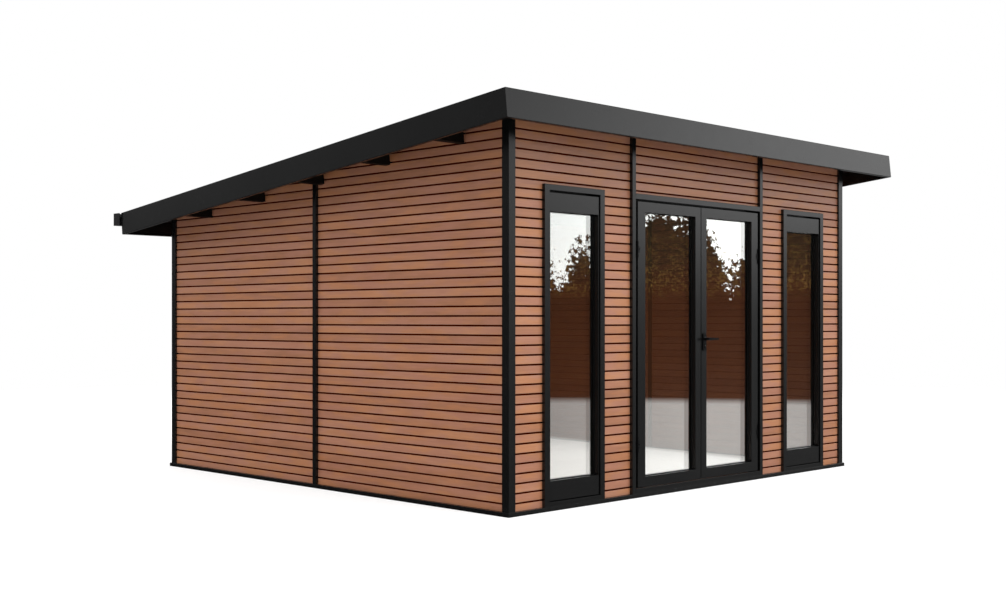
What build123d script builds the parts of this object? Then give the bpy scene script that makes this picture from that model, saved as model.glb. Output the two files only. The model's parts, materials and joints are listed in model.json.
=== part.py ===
"""Garden office pod: a mono-pitch clad cabin with double glazed doors and two side windows.

Millimetres. X runs along the front, Y from front to back, Z up. The origin is on the ground
under the middle of the floor. The front faces -Y, and the roof falls towards +Y.
"""
from build123d import *
from math import cos, radians, sin, tan
import os

os.makedirs("parts", exist_ok=True)

# Footprint and walls
overall_width = 4020.0       # over the corner posts
overall_depth = 4020.0       # over the corner posts
wall_thickness = 60.0        # boards on both faces of an insulated core
post_proud = 15.0            # corner posts stand this far out of the boards
post_face = 60.0             # visible width of a corner post on each face
cover_proud = 24.0           # joint covers, window and door frames out of the boards
cover_width = 39.0           # visible width of a joint cover
cover_web = 15.0             # part of a joint post between two panels
inner_cover_proud = 8.0      # joint cover inside the room
post_radius = 3.0            # rounded outer edge of a corner post
edge_break = 1.5             # bevel on the outer edges of covers, frames, sashes and leaves

# Base and floor
base_height = 28.0
base_bevel = 3.0
base_lip = 11.0              # base beyond the posts
base_inside = 12.0           # base beyond the inner wall faces
floor_thickness = 20.0

# Roof
roof_pitch = 6.04            # degrees, falling to the back
front_eaves_height = 2446.0  # lower edge of the front fascia
front_overhang = 286.5       # lower edge of the fascia beyond the posts
back_overhang = 288.5
side_overhang = 300.0
fascia_height = 185.0
fascia_sheet = 3.0
fascia_bend = 4.0            # outside radius of the folds
fascia_lip = 25.0            # folded back under the eaves
fascia_top_flange = 60.0
purlin_height = 97.0
purlin_width = 45.0
purlin_above_lip = 20.0      # underside of the purlins above the lower edge of the fascia
purlin_spacing = 748.0
purlin_middle = -73.0        # the third purlin stands just in front of the wall's joint post
purlins_each_way = 2
panel_core = 36.0
rib_base = 60.0
rib_top = 30.0
rib_edge = 33.0              # first rib from the edge of the panel
rib_count = 19
panel_tail = 35.0            # panel past the back fascia, over the gutter
seat_gap = 0.1               # between the top flange and the ribs

# Gutter
gutter_width = 100.0
gutter_depth = 104.0
gutter_sheet = 3.0
gutter_above_fascia = 182.0  # front lip above the lower edge of the back fascia
gutter_rear_clearance = 2.0  # rear wall under the panels
gutter_front_lip = 12.0
gutter_bend = 5.0
gutter_past_fascia = 15.0
gutter_off_fascia = 19.0     # rear wall behind the lower edge of the back fascia
bracket_width = 40.0
bracket_count = 6
bracket_end_margin = 260.0
outlet_radius = 34.0
outlet_wall = 2.5
outlet_x = 1880.0
spigot_length = 40.0

# Windows
window_width = 595.0
window_to_corner = 322.0     # window frame to the outside of the corner post
window_top = 2118.0
window_frame_face = 48.0
window_head_face = 38.0
window_sill_face = 30.0
window_rebate = 12.0         # frame behind the edge of the sash
sash_gap = 4.0
sash_gap_top = 13.0
sash_gap_bottom = 6.0
sash_set_back = 8.0          # sash face behind the frame face
sash_stile = 9.0
sash_top_rail = 122.0
sash_bottom_rail = 130.0
sash_pocket = 6.0            # glass into the sash
window_glass_set_back = 44.0

# Doors
door_half_opening = 761.0    # middle of the doorway to a door post
door_head_bottom = 2080.0
door_head_top = 2118.0
threshold_top = 62.0
jamb_beyond_cover = 19.0     # recessed jamb face beside the cover
stop_lap = 15.0              # stop behind the edge of a leaf
stop_thickness = 15.0
leaf_edge_gap = 6.0          # leaf to jamb
leaf_meeting_gap = 6.0
leaf_top_gap = 14.0
leaf_bottom_gap = 6.0
leaf_back_gap = 5.0
leaf_set_back = 5.0          # leaf face behind the cover face
hinge_stile = 85.0
meeting_stile = 66.0
leaf_rail = 72.0
leaf_pocket = 12.0           # glass into the leaf
door_glass_set_back = 37.0   # glass behind the cover faces
glass_thickness = 20.0       # sealed double pane
glass_clearance = 0.3

# Hinges
hinge_height = 116.0
hinge_radius = 9.5
hinge_pin_radius = 4.0
hinge_pin_clearance = 0.1
hinge_joint_gap = 0.5
hinge_axis_forward = 6.0     # axis in front of the leaf face
hinge_plate = 3.0
hinge_plate_reach = 34.0
hinge_wing = 5.0             # thickness of the wing on the frame
hinge_wing_set_back = 1.0    # wing behind the cover faces
hinge_centres = (370.0, 1730.0)

# Lever handle
handle_height = 1097.0
handle_plate_width = 38.0
handle_plate_height = 130.0
handle_plate_thickness = 8.0
handle_plate_corner = 11.0
handle_above_middle = 22.0   # lever axis above the middle of the plate
handle_gap = 0.5
spindle_radius = 4.0
spindle_hole = 6.0
spindle_clearance = 0.1
boss_radius = 10.0
boss_reach = 46.0
lever_length = 120.0
lever_thickness = 9.0
lever_root = 20.0
lever_tip = 11.0
cylinder_radius = 9.0
cylinder_tail = 17.0
cylinder_below = 48.0
cylinder_proud = 3.0

# Worked out from the sizes above
half_width = overall_width / 2
half_depth = overall_depth / 2
clad_x = half_width - post_proud
clad_y = half_depth - post_proud
cover_x = clad_x + cover_proud
cover_y = clad_y + cover_proud
inner_x = clad_x - wall_thickness
inner_y = clad_y - wall_thickness
base_inner_x = inner_x - base_inside
base_inner_y = inner_y - base_inside
wall_reach_x = half_width - post_face
wall_reach_y = half_depth - post_face
mitre_step = wall_thickness + post_proud - post_face
above_roof = 3000.0

pitch = radians(roof_pitch)
slope_front = -(half_depth + front_overhang) / cos(pitch)
slope_back = (half_depth + back_overhang) / cos(pitch)
roof_origin_z = front_eaves_height + slope_front * sin(pitch)
roof_half_width = half_width + side_overhang
purlin_top = purlin_above_lip + purlin_height
panel_half_width = roof_half_width - fascia_sheet
roof_plane = Plane(origin=(0, 0, roof_origin_z), x_dir=(1, 0, 0), z_dir=(0, sin(pitch), cos(pitch)))
deck_plane = roof_plane.offset(purlin_top)
slope_middle = (slope_front + slope_back) / 2
slope_length = slope_back - slope_front

window_centre = half_width - window_to_corner - window_width / 2
front_face_y = -cover_y
front_clad_y = -clad_y
front_inner_y = -inner_y
door_glass_front_y = front_face_y + door_glass_set_back
window_glass_front_y = front_face_y + window_glass_set_back

leaf_front_y = front_face_y + leaf_set_back
stop_front_y = front_inner_y - stop_thickness
leaf_back_y = stop_front_y - leaf_back_gap
jamb_inner_x = door_half_opening - jamb_beyond_cover
leaf_outer_x = jamb_inner_x - leaf_edge_gap
leaf_inner_x = leaf_meeting_gap / 2
stop_inner_x = leaf_outer_x - stop_lap
leaf_bottom = threshold_top + leaf_bottom_gap
leaf_top = door_head_bottom - leaf_top_gap
stop_head_bottom = leaf_top - stop_lap
web_inner_x = door_half_opening + (cover_width - cover_web) / 2
web_outer_x = web_inner_x + cover_web
hinge_axis_x = (door_half_opening + leaf_outer_x) / 2
hinge_axis_y = leaf_front_y - hinge_axis_forward


def save(part, label):
    """Names a finished piece and writes its file."""
    part.label = label
    export_step(part, f"parts/{label}.step")


def box_between(low, high, mode=Mode.ADD):
    """A block given by two opposite corners, in the part being built."""
    middle = tuple((a + b) / 2 for a, b in zip(low, high))
    size = tuple(b - a for a, b in zip(low, high))
    with Locations(middle):
        Box(*size, mode=mode)


def under_deck(plan_points):
    """A wall or post of this plan, from the base up to the underside of the roof panels."""
    with BuildSketch(Plane.XY.offset(base_height)) as outline:
        with BuildLine():
            Polyline(*plan_points, close=True)
        make_face()
    extrude(outline.sketch, amount=above_roof)
    split(bisect_by=deck_plane, keep=Keep.BOTTOM)


def purlin_slopes():
    """Distances down the slope of the purlins that pass through the side walls."""
    steps = range(-purlins_each_way, purlins_each_way + 1)
    return [(purlin_middle + step * purlin_spacing) / cos(pitch) for step in steps]


def purlin_block(slope, half_length, height, mode=Mode.ADD):
    """A bar across the roof, centred this far down the slope."""
    with BuildSketch(roof_plane.offset(purlin_above_lip)) as outline:
        with Locations((0, slope)):
            Rectangle(2 * half_length, purlin_width)
    extrude(outline.sketch, amount=height, mode=mode)


def facing(origin, outward):
    """A sketch plane at this point, looking out of the front (-1) or into the room (1)."""
    return Plane(origin=origin, x_dir=(1, 0, 0), z_dir=(0, outward, 0))


# Base frame
with BuildPart() as base_frame:
    with BuildSketch():
        Rectangle(2 * (half_width + base_lip), 2 * (half_depth + base_lip))
        Rectangle(2 * base_inner_x, 2 * base_inner_y, mode=Mode.SUBTRACT)
    extrude(amount=base_height)
    top_edges = base_frame.edges().group_by(Axis.Z)[-1]
    outer_top = [e for e in top_edges if e.length > 2 * half_width]
    chamfer(outer_top, length=base_bevel)
save(base_frame.part, "base_frame")

# Floor
with BuildPart() as floor:
    with BuildSketch():
        Rectangle(2 * base_inner_x, 2 * base_inner_y)
    extrude(amount=floor_thickness)
save(floor.part, "floor")

# Corner posts, one section mirrored to the four corners
post_section = ((0, 0), (post_face, 0), (post_face, post_face), (0, post_face))
for side_name, side_x in (("left", -1), ("right", 1)):
    for end_name, end_y in (("front", -1), ("back", 1)):
        corner = [(side_x * (half_width - a), end_y * (half_depth - b)) for a, b in post_section]
        with BuildPart() as corner_post:
            under_deck(corner)
            upright_edges = corner_post.edges().filter_by(Axis.Z)
            outer_edge = upright_edges.sort_by(lambda e: side_x * e.center().X + end_y * e.center().Y)
            fillet(outer_edge[-1], radius=post_radius)
        save(corner_post.part, f"corner_post_{end_name}_{side_name}")

# Side walls: two panels a side, mitred behind the posts, notched for the purlins
for side_name, side_x in (("left", -1), ("right", 1)):
    for end_name, end_y in (("front", -1), ("back", 1)):
        plan = [
            (side_x * clad_x, end_y * cover_web / 2),
            (side_x * clad_x, end_y * wall_reach_y),
            (side_x * wall_reach_x, end_y * wall_reach_y),
            (side_x * inner_x, end_y * (wall_reach_y - mitre_step)),
            (side_x * inner_x, end_y * cover_web / 2),
        ]
        with BuildPart() as side_wall:
            under_deck(plan)
            for slope in purlin_slopes():
                purlin_block(slope, roof_half_width, purlin_height + wall_thickness, mode=Mode.SUBTRACT)
        save(side_wall.part, f"{side_name}_wall_{end_name}")

# Back wall: two panels
for side_name, side_x in (("left", -1), ("right", 1)):
    plan = [
        (side_x * cover_web / 2, clad_y),
        (side_x * wall_reach_x, clad_y),
        (side_x * wall_reach_x, wall_reach_y),
        (side_x * (wall_reach_x - mitre_step), inner_y),
        (side_x * cover_web / 2, inner_y),
    ]
    with BuildPart() as back_wall:
        under_deck(plan)
    save(back_wall.part, f"back_wall_{side_name}")

# Front wall beside the doors, each panel cut for its window
for side_name, side_x in (("left", -1), ("right", 1)):
    plan = [
        (side_x * web_outer_x, front_clad_y),
        (side_x * wall_reach_x, front_clad_y),
        (side_x * wall_reach_x, -wall_reach_y),
        (side_x * (wall_reach_x - mitre_step), front_inner_y),
        (side_x * web_outer_x, front_inner_y),
    ]
    with BuildPart() as front_wall:
        under_deck(plan)
        box_between(
            (side_x * window_centre - window_width / 2, front_face_y, base_height),
            (side_x * window_centre + window_width / 2, front_inner_y + wall_thickness, window_top),
            mode=Mode.SUBTRACT,
        )
    save(front_wall.part, f"front_wall_{side_name}")

# Front wall over the doors
with BuildPart() as front_wall_over_door:
    under_deck([
        (-web_inner_x, front_clad_y),
        (web_inner_x, front_clad_y),
        (web_inner_x, front_inner_y),
        (-web_inner_x, front_inner_y),
    ])
    box_between(
        (-web_inner_x, front_face_y, base_height),
        (web_inner_x, front_inner_y + wall_thickness, door_head_top),
        mode=Mode.SUBTRACT,
    )
save(front_wall_over_door.part, "front_wall_over_door")

# Joint posts: an H section with a deep cover outside and a flat one inside
joint_section = (
    (-cover_width / 2, edge_break),
    (edge_break - cover_width / 2, 0),
    (cover_width / 2 - edge_break, 0),
    (cover_width / 2, edge_break),
    (cover_width / 2, cover_proud),
    (cover_web / 2, cover_proud),
    (cover_web / 2, cover_proud + wall_thickness),
    (cover_width / 2, cover_proud + wall_thickness),
    (cover_width / 2, cover_proud + wall_thickness + inner_cover_proud),
    (-cover_width / 2, cover_proud + wall_thickness + inner_cover_proud),
    (-cover_width / 2, cover_proud + wall_thickness),
    (-cover_web / 2, cover_proud + wall_thickness),
    (-cover_web / 2, cover_proud),
    (-cover_width / 2, cover_proud),
)
door_post_x = door_half_opening + cover_width / 2
joint_posts = {
    "joint_post_left_wall": [(b - cover_x, a) for a, b in joint_section],
    "joint_post_right_wall": [(cover_x - b, a) for a, b in joint_section],
    "joint_post_back_wall": [(a, cover_y - b) for a, b in joint_section],
    "door_post_left": [(a - door_post_x, b - cover_y) for a, b in joint_section],
    "door_post_right": [(a + door_post_x, b - cover_y) for a, b in joint_section],
}
for post_name, plan in joint_posts.items():
    with BuildPart() as joint_post:
        under_deck(plan)
    save(joint_post.part, post_name)

# Windows: outer frame, sash with deep rails, sealed pane
pocket_bottom = base_height + window_sill_face
pocket_top = window_top - window_head_face
sash_half_width = window_width / 2 - window_frame_face - sash_gap
sash_bottom = pocket_bottom + sash_gap_bottom
sash_top = pocket_top - sash_gap_top
sash_front_y = front_face_y + sash_set_back
glass_half_width = sash_half_width - sash_stile + sash_pocket
window_glass_back_y = window_glass_front_y + glass_thickness
glass_bottom = sash_bottom + sash_bottom_rail - sash_pocket
glass_top = sash_top - sash_top_rail + sash_pocket
for side_name, side_x in (("left", -1), ("right", 1)):
    centre_x = side_x * window_centre
    with BuildPart() as window_frame:
        box_between(
            (centre_x - window_width / 2, front_face_y, base_height),
            (centre_x + window_width / 2, front_inner_y, window_top),
        )
        box_between(
            (centre_x - window_width / 2 + window_frame_face, front_face_y, pocket_bottom),
            (centre_x + window_width / 2 - window_frame_face, stop_front_y, pocket_top),
            mode=Mode.SUBTRACT,
        )
        box_between(
            (centre_x - sash_half_width + window_rebate, stop_front_y, sash_bottom + window_rebate),
            (centre_x + sash_half_width - window_rebate, front_inner_y, sash_top - window_rebate),
            mode=Mode.SUBTRACT,
        )
        chamfer(window_frame.faces().sort_by(Axis.Y)[0].edges(), length=edge_break)
    save(window_frame.part, f"window_frame_{side_name}")

    with BuildPart() as window_sash:
        box_between(
            (centre_x - sash_half_width, sash_front_y, sash_bottom),
            (centre_x + sash_half_width, stop_front_y, sash_top),
        )
        box_between(
            (centre_x - sash_half_width + sash_stile, sash_front_y, sash_bottom + sash_bottom_rail),
            (centre_x + sash_half_width - sash_stile, stop_front_y, sash_top - sash_top_rail),
            mode=Mode.SUBTRACT,
        )
        chamfer(window_sash.faces().sort_by(Axis.Y)[0].edges(), length=edge_break)
        box_between(
            (centre_x - glass_half_width, window_glass_front_y, glass_bottom),
            (centre_x + glass_half_width, window_glass_back_y, glass_top),
            mode=Mode.SUBTRACT,
        )
    save(window_sash.part, f"window_sash_{side_name}")

    with BuildPart() as window_glass:
        box_between(
            (centre_x - glass_half_width + glass_clearance, window_glass_front_y + glass_clearance,
             glass_bottom + glass_clearance),
            (centre_x + glass_half_width - glass_clearance, window_glass_back_y - glass_clearance,
             glass_top - glass_clearance),
        )
    save(window_glass.part, f"window_glass_{side_name}")

# Door frame: head and threshold flush with the covers, jambs set back, a stop behind the leaves
with BuildPart() as door_frame:
    box_between(
        (-door_half_opening, front_face_y, door_head_bottom),
        (door_half_opening, front_clad_y, door_head_top),
    )
    box_between(
        (-door_half_opening, front_face_y, base_height),
        (door_half_opening, front_clad_y, threshold_top),
    )
    box_between(
        (-web_inner_x, front_clad_y, base_height),
        (web_inner_x, front_inner_y, door_head_top),
    )
    box_between(
        (-jamb_inner_x, front_clad_y, threshold_top),
        (jamb_inner_x, stop_front_y, door_head_bottom),
        mode=Mode.SUBTRACT,
    )
    box_between(
        (-stop_inner_x, stop_front_y, threshold_top),
        (stop_inner_x, front_inner_y, stop_head_bottom),
        mode=Mode.SUBTRACT,
    )
    door_face_edges = door_frame.edges().filter_by(Axis.X).group_by(Axis.Y)[0]
    chamfer(door_face_edges, length=edge_break)
save(door_frame.part, "door_frame")

# Door leaves, with the sealed pane in a pocket of each leaf
for side_name, side_x in (("left", -1), ("right", 1)):
    opening_low, opening_high = sorted((
        side_x * (leaf_outer_x - hinge_stile),
        side_x * (leaf_inner_x + meeting_stile),
    ))
    leaf_low, leaf_high = sorted((side_x * leaf_outer_x, side_x * leaf_inner_x))
    pane_low = (opening_low - leaf_pocket, door_glass_front_y, leaf_bottom + leaf_rail - leaf_pocket)
    pane_high = (opening_high + leaf_pocket, door_glass_front_y + glass_thickness,
                 leaf_top - leaf_rail + leaf_pocket)
    with BuildPart() as door_leaf:
        box_between((leaf_low, leaf_front_y, leaf_bottom), (leaf_high, leaf_back_y, leaf_top))
        box_between(
            (opening_low, leaf_front_y, leaf_bottom + leaf_rail),
            (opening_high, leaf_back_y, leaf_top - leaf_rail),
            mode=Mode.SUBTRACT,
        )
        chamfer(door_leaf.faces().sort_by(Axis.Y)[0].edges(), length=edge_break)
        box_between(pane_low, pane_high, mode=Mode.SUBTRACT)
        if side_name == "right":
            with Locations(Plane(
                origin=(leaf_inner_x + meeting_stile / 2, leaf_front_y, handle_height),
                z_dir=(0, -1, 0),
            )):
                Hole(radius=spindle_hole)
    save(door_leaf.part, f"door_leaf_{side_name}")

    with BuildPart() as door_glass:
        box_between(
            [value + glass_clearance for value in pane_low],
            [value - glass_clearance for value in pane_high],
        )
    save(door_glass.part, f"door_glass_{side_name}")

# Hinges: the frame half has two knuckles and the pin, the leaf half the middle knuckle
knuckle_height = hinge_height / 3
bore_radius = hinge_pin_radius + hinge_pin_clearance
leaf_knuckle_height = knuckle_height - 2 * hinge_joint_gap
wing_front_y = front_face_y + hinge_wing_set_back
with BuildPart() as hinge_frame_halves:
    for side_x in (-1, 1):
        axis_x = side_x * hinge_axis_x
        for centre_z in hinge_centres:
            with Locations((axis_x, hinge_axis_y, centre_z)):
                Cylinder(hinge_pin_radius, hinge_height)
            for knuckle_z in (centre_z - knuckle_height, centre_z + knuckle_height):
                with Locations((axis_x, hinge_axis_y, knuckle_z)):
                    Cylinder(hinge_radius, knuckle_height)
                wing_low, wing_high = sorted((axis_x, side_x * door_half_opening))
                box_between(
                    (wing_low, wing_front_y, knuckle_z - knuckle_height / 2),
                    (wing_high, wing_front_y + hinge_wing, knuckle_z + knuckle_height / 2),
                )
save(hinge_frame_halves.part, "door_hinge_frame_halves")

for side_name, side_x in (("left", -1), ("right", 1)):
    axis_x = side_x * hinge_axis_x
    with BuildPart() as hinge_leaf_halves:
        for centre_z in hinge_centres:
            with Locations((axis_x, hinge_axis_y, centre_z)):
                Cylinder(hinge_radius, leaf_knuckle_height)
            plate_low, plate_high = sorted((axis_x, axis_x - side_x * hinge_plate_reach))
            box_between(
                (plate_low, leaf_front_y - hinge_plate, centre_z - leaf_knuckle_height / 2),
                (plate_high, leaf_front_y, centre_z + leaf_knuckle_height / 2),
            )
            with Locations((axis_x, hinge_axis_y, centre_z)):
                Cylinder(bore_radius, hinge_height, mode=Mode.SUBTRACT)
    save(hinge_leaf_halves.part, f"door_hinge_leaf_halves_{side_name}")

# Handle plates and the profile cylinder through the active leaf
handle_x = leaf_inner_x + meeting_stile / 2
plate_middle_z = handle_height - handle_above_middle
cylinder_z = handle_height - cylinder_below
plates_apart = leaf_back_y - leaf_front_y + 2 * handle_plate_thickness
with BuildPart() as handle_plates:
    for face_y, outward in ((leaf_front_y, -1), (leaf_back_y, 1)):
        with BuildSketch(facing((handle_x, face_y, plate_middle_z), outward)):
            RectangleRounded(handle_plate_width, handle_plate_height, handle_plate_corner)
        extrude(amount=handle_plate_thickness)
        with BuildSketch(facing((handle_x, face_y, cylinder_z), outward)):
            Circle(cylinder_radius)
            with Locations((0, outward * cylinder_tail / 2)):
                Rectangle(cylinder_radius, cylinder_tail)
        extrude(amount=handle_plate_thickness + cylinder_proud)
    with Locations(facing((handle_x, leaf_front_y, handle_height), -1)):
        Cylinder(spindle_radius + spindle_clearance, 2 * plates_apart, mode=Mode.SUBTRACT)
save(handle_plates.part, "door_handle_plates")

# Lever handles on one spindle
with BuildPart() as door_levers:
    spindle_start = leaf_front_y - handle_plate_thickness - handle_gap
    spindle_end = leaf_back_y + handle_plate_thickness + handle_gap
    with BuildSketch(facing((handle_x, spindle_start, handle_height), 1)):
        Circle(spindle_radius)
    extrude(amount=spindle_end - spindle_start)
    for start_y, outward in ((spindle_start, -1), (spindle_end, 1)):
        with BuildSketch(facing((handle_x, start_y, handle_height), outward)):
            Circle(boss_radius)
        extrude(amount=boss_reach)
        lever_start_y = start_y + outward * (boss_reach - lever_thickness)
        with BuildSketch(facing((handle_x, lever_start_y, handle_height), outward)):
            with BuildLine():
                Polyline(
                    (0, -lever_root / 2),
                    (lever_length - lever_tip, -lever_tip / 2),
                    (lever_length - lever_tip, lever_tip / 2),
                    (0, lever_root / 2),
                    close=True,
                )
            make_face()
            with Locations((lever_length - lever_tip, 0)):
                Circle(lever_tip / 2)
        extrude(amount=lever_thickness)
save(door_levers.part, "door_levers")

# Purlins through the side walls, and the beams behind the front and back fascias
with BuildPart() as roof_purlins:
    for slope in purlin_slopes():
        purlin_block(slope, panel_half_width, purlin_height)
save(roof_purlins.part, "roof_purlins")

beam_inset = fascia_sheet + purlin_width / 2
with BuildPart() as eaves_beams:
    for slope in (slope_front + beam_inset, slope_back - beam_inset):
        purlin_block(slope, panel_half_width, purlin_height)
save(eaves_beams.part, "roof_eaves_beams")

# Roof panels: one ribbed profile drawn down the slope
rib_height = fascia_height - fascia_sheet - seat_gap - purlin_top - panel_core
rib_pitch = 2 * (panel_half_width - rib_edge) / (rib_count - 1)
panel_outline = [(-panel_half_width, 0), (-panel_half_width, panel_core)]
for rib in range(rib_count):
    rib_x = -panel_half_width + rib_edge + rib * rib_pitch
    panel_outline += [
        (rib_x - rib_base / 2, panel_core),
        (rib_x - rib_top / 2, panel_core + rib_height),
        (rib_x + rib_top / 2, panel_core + rib_height),
        (rib_x + rib_base / 2, panel_core),
    ]
panel_outline += [(panel_half_width, panel_core), (panel_half_width, 0)]
panel_start = slope_front + fascia_sheet
panel_length = slope_back + panel_tail - panel_start
with BuildPart() as roof_panels:
    section_plane = Plane(
        origin=deck_plane.from_local_coords((0, panel_start, 0)),
        x_dir=(1, 0, 0),
        z_dir=(0, -cos(pitch), sin(pitch)),
    )
    with BuildSketch(section_plane):
        with BuildLine():
            Polyline(*panel_outline, close=True)
        make_face()
    extrude(amount=-panel_length)
save(roof_panels.part, "roof_panels")


def fascia(outer_point, inward, length, height, flange):
    """A folded sheet along the roof edge: web outside, lip under the eaves, flange over the ribs.

    Its length is centred on outer_point, and both ends are left square. With no flange the web
    ends square at the top.
    """
    section = [(0, 0), (fascia_lip, 0), (fascia_lip, fascia_sheet), (fascia_sheet, fascia_sheet)]
    folds = [(0, 0)]
    if flange:
        section += [
            (fascia_sheet, height - fascia_sheet),
            (flange, height - fascia_sheet),
            (flange, height),
            (0, height),
        ]
        folds += [(0, height)]
    else:
        section += [(fascia_sheet, height), (0, height)]
    x_dir = roof_plane.x_dir * inward[0] + roof_plane.y_dir * inward[1]
    start = roof_plane.from_local_coords((*outer_point, 0))
    profile_plane = Plane(origin=start, x_dir=x_dir, z_dir=x_dir.cross(roof_plane.z_dir))
    with BuildSketch(profile_plane) as outline:
        with BuildLine():
            Polyline(*section, close=True)
        make_face()
        for fold in folds:
            fillet(outline.vertices().sort_by_distance(fold)[0], radius=fascia_bend)
    extrude(outline.sketch, amount=length / 2, both=True)


def mitre_plane(side_x):
    """The upright plane through a front corner of the roof, at 45 degrees to both edges."""
    corner = roof_plane.from_local_coords((side_x * roof_half_width, slope_front, 0))
    normal = roof_plane.x_dir * side_x + roof_plane.y_dir
    return Plane(origin=corner, z_dir=normal)


# Front fascia, mitred at both ends
with BuildPart() as fascia_front:
    fascia((0, slope_front), (0, 1), 2 * roof_half_width, fascia_height, fascia_top_flange)
    split(bisect_by=mitre_plane(-1), keep=Keep.BOTTOM)
    split(bisect_by=mitre_plane(1), keep=Keep.BOTTOM)
save(fascia_front.part, "fascia_front")

# Side fascias, mitred at the front
for side_name, side_x in (("left", -1), ("right", 1)):
    with BuildPart() as fascia_side:
        fascia(
            (side_x * roof_half_width, slope_middle), (-side_x, 0),
            slope_length, fascia_height, fascia_top_flange,
        )
        split(bisect_by=mitre_plane(side_x), keep=Keep.TOP)
    save(fascia_side.part, f"fascia_{side_name}")

# Back fascia, between the side fascias and under the panels
with BuildPart() as fascia_back:
    fascia((0, slope_back), (0, -1), 2 * (roof_half_width - fascia_lip), purlin_top, 0)
save(fascia_back.part, "fascia_back")

# Gutter: a box section with stop ends and an outlet
gutter_rear_y = half_depth + back_overhang + gutter_off_fascia
gutter_front_y = gutter_rear_y + gutter_width
gutter_top = roof_plane.from_local_coords((0, slope_back, 0)).Z + gutter_above_fascia
gutter_bottom = gutter_top - gutter_depth
gutter_half_length = roof_half_width + gutter_past_fascia
gutter_rear_slope = gutter_rear_y / cos(pitch) + purlin_top * tan(pitch)
gutter_rear_top = deck_plane.from_local_coords((0, gutter_rear_slope, 0)).Z - gutter_rear_clearance
gutter_outline = (
    (gutter_rear_y, gutter_rear_top),
    (gutter_rear_y, gutter_bottom),
    (gutter_front_y, gutter_bottom),
    (gutter_front_y, gutter_top),
    (gutter_front_y - gutter_front_lip, gutter_top),
    (gutter_front_y - gutter_front_lip, gutter_top - gutter_sheet),
    (gutter_front_y - gutter_sheet, gutter_top - gutter_sheet),
    (gutter_front_y - gutter_sheet, gutter_bottom + gutter_sheet),
    (gutter_rear_y + gutter_sheet, gutter_bottom + gutter_sheet),
    (gutter_rear_y + gutter_sheet, gutter_rear_top),
)
outlet_y = (gutter_rear_y + gutter_front_y) / 2
with BuildPart() as gutter:
    with BuildSketch(Plane.YZ.offset(-gutter_half_length)):
        with BuildLine():
            Polyline(*gutter_outline, close=True)
        make_face()
    extrude(amount=2 * gutter_half_length)
    low_edges = gutter.edges().filter_by(Axis.X).group_by(Axis.Z)[0]
    fillet(low_edges, radius=gutter_bend)
    for end_x in (-gutter_half_length, gutter_half_length - gutter_sheet):
        box_between(
            (end_x, gutter_rear_y, gutter_bottom),
            (end_x + gutter_sheet, gutter_front_y, gutter_top),
        )
    with BuildSketch(Plane.XY.offset(gutter_bottom - spigot_length)):
        with Locations((outlet_x, outlet_y)):
            Circle(outlet_radius)
    extrude(amount=spigot_length + gutter_sheet)
    with Locations((outlet_x, outlet_y, gutter_bottom)):
        Cylinder(outlet_radius - outlet_wall, 2 * (spigot_length + gutter_sheet), mode=Mode.SUBTRACT)
save(gutter.part, "gutter")

# Gutter brackets: wedges that pack the upright gutter out from the leaning fascia
fascia_back_low = roof_plane.from_local_coords((0, slope_back, purlin_above_lip))
fascia_back_high = roof_plane.from_local_coords((0, slope_back, purlin_top - 2 * fascia_sheet))
bracket_seat_top = min(fascia_back_high.Z, gutter_rear_top)
bracket_outline = (
    (fascia_back_low.Y, fascia_back_low.Z),
    (fascia_back_high.Y, fascia_back_high.Z),
    (gutter_rear_y, bracket_seat_top),
    (gutter_rear_y, gutter_bottom + gutter_bend),
)
bracket_span = 2 * (roof_half_width - bracket_end_margin)
with BuildPart() as gutter_brackets:
    for bracket in range(bracket_count):
        bracket_x = -bracket_span / 2 + bracket * bracket_span / (bracket_count - 1)
        with BuildSketch(Plane.YZ.offset(bracket_x - bracket_width / 2)):
            with BuildLine():
                Polyline(*bracket_outline, close=True)
            make_face()
        extrude(amount=bracket_width)
save(gutter_brackets.part, "gutter_brackets")
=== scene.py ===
import json
import math

import bmesh
import bpy
import numpy as np
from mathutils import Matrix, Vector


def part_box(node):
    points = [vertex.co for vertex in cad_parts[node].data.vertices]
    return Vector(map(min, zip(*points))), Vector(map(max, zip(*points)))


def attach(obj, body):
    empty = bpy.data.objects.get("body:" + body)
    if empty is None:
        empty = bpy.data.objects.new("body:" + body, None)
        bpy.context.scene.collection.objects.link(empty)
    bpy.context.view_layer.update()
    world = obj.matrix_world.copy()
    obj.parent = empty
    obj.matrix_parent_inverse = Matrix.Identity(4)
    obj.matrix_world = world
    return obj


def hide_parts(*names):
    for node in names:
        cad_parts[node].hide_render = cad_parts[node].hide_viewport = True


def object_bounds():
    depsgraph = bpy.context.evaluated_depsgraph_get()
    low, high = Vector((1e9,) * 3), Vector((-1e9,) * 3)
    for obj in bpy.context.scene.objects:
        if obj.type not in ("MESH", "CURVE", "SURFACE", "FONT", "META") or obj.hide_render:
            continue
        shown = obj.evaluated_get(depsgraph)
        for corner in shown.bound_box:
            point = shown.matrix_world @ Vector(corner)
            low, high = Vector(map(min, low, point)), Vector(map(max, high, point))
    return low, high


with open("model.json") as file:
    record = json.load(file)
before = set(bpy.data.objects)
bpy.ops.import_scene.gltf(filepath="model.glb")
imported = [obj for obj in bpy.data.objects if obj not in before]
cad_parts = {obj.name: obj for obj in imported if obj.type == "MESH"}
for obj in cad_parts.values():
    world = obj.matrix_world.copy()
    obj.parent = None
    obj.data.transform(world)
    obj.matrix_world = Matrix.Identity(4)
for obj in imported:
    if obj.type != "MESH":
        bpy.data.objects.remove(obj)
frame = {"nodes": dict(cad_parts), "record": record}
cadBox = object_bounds()


def cornersOf(node):
    # lowest and highest corner of a CAD node, as arrays
    low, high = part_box(node)
    return np.array(low), np.array(high)


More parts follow.
